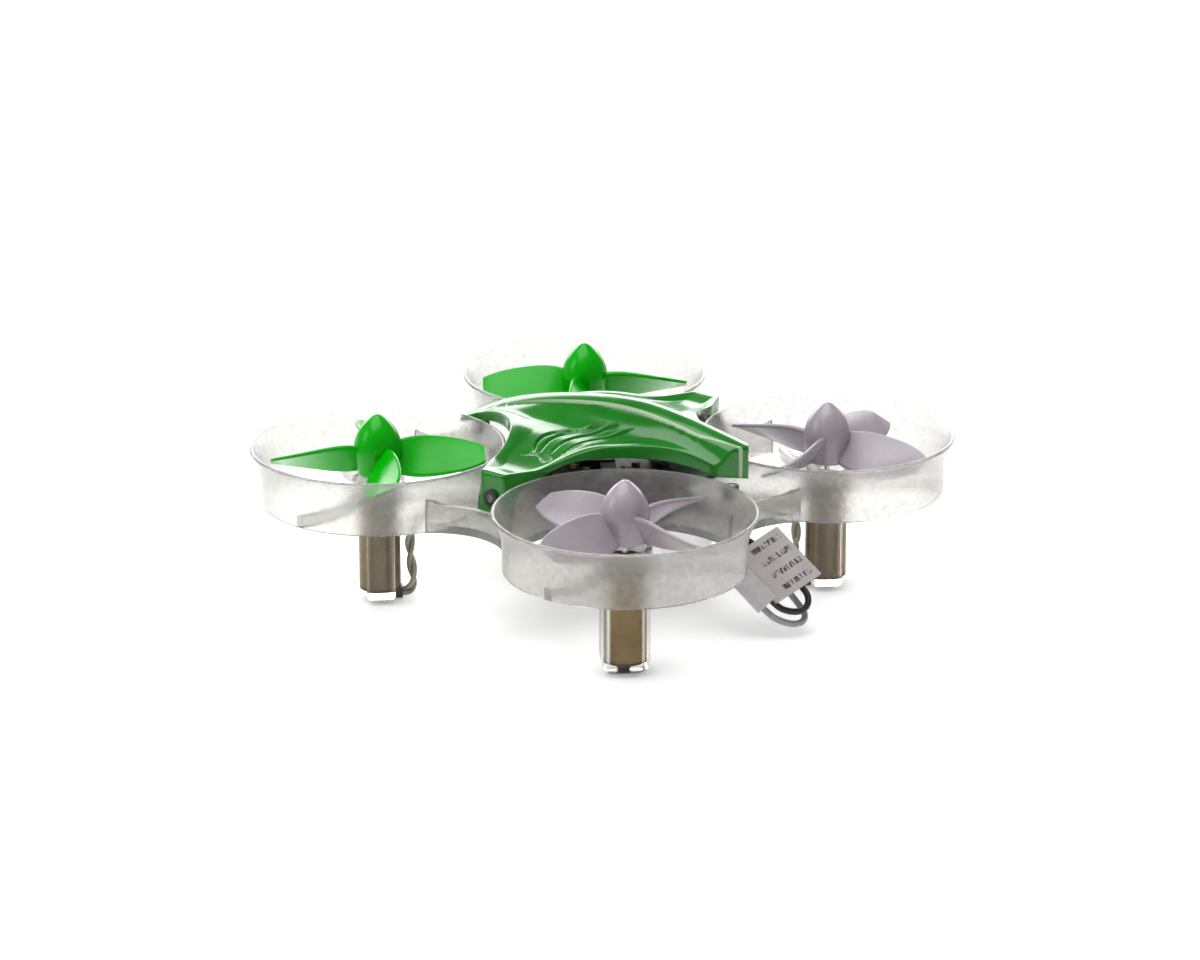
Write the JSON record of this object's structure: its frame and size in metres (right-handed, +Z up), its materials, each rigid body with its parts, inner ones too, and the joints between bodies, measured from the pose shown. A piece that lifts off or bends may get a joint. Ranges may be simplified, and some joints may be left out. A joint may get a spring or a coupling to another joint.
{
  "type": "mini palm drone",
  "caption": "Palm-size ducted quadcopter with translucent guards, a star-shaped canopy, coreless motors on clear strap feet and a power lead.",
  "frame": {"origin": "middle of the footprint, on the surface that the four strap feet stand on", "axes": "+Z up along the rotor axes, -Y towards the nose, +X towards the drone's left side"},
  "size_m": [0.0828, 0.0828, 0.0306],
  "materials": {
    "frame_plastic": "milky translucent, finely mottled",
    "clear_plastic": "clear gloss",
    "canopy_green": "moulded gloss",
    "propeller_green": "moulded gloss",
    "propeller_white": "moulded gloss",
    "motor_steel": "drawn can, satin",
    "end_cap_plastic": "moulded",
    "magnet_metal": "ground",
    "brass": "turned",
    "shaft_steel": "ground",
    "copper_winding": null,
    "lead_sleeve": "soft vinyl",
    "grommet_rubber": "soft black",
    "board_laminate": "solder mask",
    "chip_black": "moulded",
    "can_metal": "tinned",
    "socket_white": "moulded",
    "capacitor_tan": "ceramic",
    "lamp_red": "lens",
    "screw_steel": "blackened",
    "battery_foil": "foil wrap",
    "tape_amber": "polyimide tape",
    "connector_white": "moulded nylon",
    "label_paper": "printed polyester label",
    "wire_black": "silicone",
    "wire_grey": "silicone"
  },
  "bodies": {
    "airframe": {"board_capacitors": "capacitor_tan", "board_screws": "screw_steel", "canopy_grommets": "grommet_rubber", "canopy_shell": "canopy_green", "centre_frame": "frame_plastic", "duct_front_left": "frame_plastic", "duct_front_right": "frame_plastic", "duct_rear_left": "frame_plastic", "duct_rear_right": "frame_plastic", "flag_label": "label_paper", "flight_board": "board_laminate", "motor_brushes": "brass", "motor_bushes": "brass", "motor_can_front_left": "motor_steel", "motor_can_front_right": "motor_steel", "motor_can_rear_left": "motor_steel", "motor_can_rear_right": "motor_steel", "motor_end_cap_front_left": "end_cap_plastic", "motor_end_cap_front_right": "end_cap_plastic", "motor_end_cap_rear_left": "end_cap_plastic", "motor_end_cap_rear_right": "end_cap_plastic", "motor_lead_front_left": "lead_sleeve", "motor_lead_front_right": "lead_sleeve", "motor_lead_rear_left": "lead_sleeve", "motor_lead_rear_right": "lead_sleeve", "motor_magnet_front_left": "magnet_metal", "motor_magnet_front_right": "magnet_metal", "motor_magnet_rear_left": "magnet_metal", "motor_magnet_rear_right": "magnet_metal", "motor_sockets": "socket_white", "motor_strap_front_left": "clear_plastic", "motor_strap_front_right": "clear_plastic", "motor_strap_rear_left": "clear_plastic", "motor_strap_rear_right": "clear_plastic", "motor_transistors": "chip_black", "power_connector": "connector_white", "power_contacts": "shaft_steel", "power_lead_black": "wire_black", "power_lead_grey": "wire_grey", "processor": "chip_black", "receiver_can": "can_metal", "status_lamp": "lamp_red"},
    "rotor_front_left": {"propeller_front_left": "propeller_green", "motor_shaft_front_left": "shaft_steel", "motor_coil_front_left": "copper_winding", "motor_commutator_front_left": "brass"},
    "rotor_front_right": {"propeller_front_right": "propeller_green", "motor_shaft_front_right": "shaft_steel", "motor_coil_front_right": "copper_winding", "motor_commutator_front_right": "brass"},
    "rotor_rear_left": {"propeller_rear_left": "propeller_white", "motor_shaft_rear_left": "shaft_steel", "motor_coil_rear_left": "copper_winding", "motor_commutator_rear_left": "brass"},
    "rotor_rear_right": {"propeller_rear_right": "propeller_white", "motor_shaft_rear_right": "shaft_steel", "motor_coil_rear_right": "copper_winding", "motor_commutator_rear_right": "brass"},
    "battery": {"battery_cell": "battery_foil", "battery_end_tape": "tape_amber"}
  },
  "joints": [
    {"name": "rotor_front_left_spin", "type": "hinge", "parent": "airframe", "child": "rotor_front_left", "pos_m": [0.023, -0.023, 0.0166], "axis": [0, 0, 1], "continuous": true},
    {"name": "rotor_front_right_spin", "type": "hinge", "parent": "airframe", "child": "rotor_front_right", "pos_m": [-0.023, -0.023, 0.0166], "axis": [0, 0, 1], "continuous": true},
    {"name": "rotor_rear_left_spin", "type": "hinge", "parent": "airframe", "child": "rotor_rear_left", "pos_m": [0.023, 0.023, 0.0166], "axis": [0, 0, 1], "continuous": true},
    {"name": "rotor_rear_right_spin", "type": "hinge", "parent": "airframe", "child": "rotor_rear_right", "pos_m": [-0.023, 0.023, 0.0166], "axis": [0, 0, 1], "continuous": true},
    {"name": "battery_slide", "type": "slide", "parent": "airframe", "child": "battery", "axis": [0, -1, 0], "range_m": [0, 0.034]}
  ]
}
